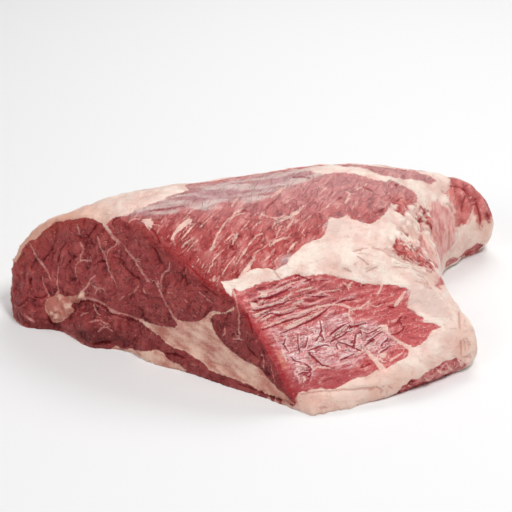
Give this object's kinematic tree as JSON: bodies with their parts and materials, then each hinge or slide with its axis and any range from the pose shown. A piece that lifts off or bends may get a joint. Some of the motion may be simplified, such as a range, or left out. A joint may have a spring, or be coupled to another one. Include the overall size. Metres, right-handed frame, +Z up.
{
  "type": "raw veal tri-tip",
  "caption": "Raw boneless veal tri-tip: a triangular lump of marbled red meat with seams and a border of pale fat, a knife-cut face and a narrow tail, lying on its flat underside.",
  "frame": {"origin": "middle of the bounding box, at the level of the flat underside", "axes": "+X from the thick end towards the lobe and the tail, +Y from the knife-cut face towards the rounded back, +Z up"},
  "size_m": [0.2268, 0.1584, 0.0608],
  "materials": {
    "meat": "wet raw meat, red lean with cream fat"
  },
  "bodies": {
    "root": {"tri_tip": "meat"}
  },
  "joints": []
}
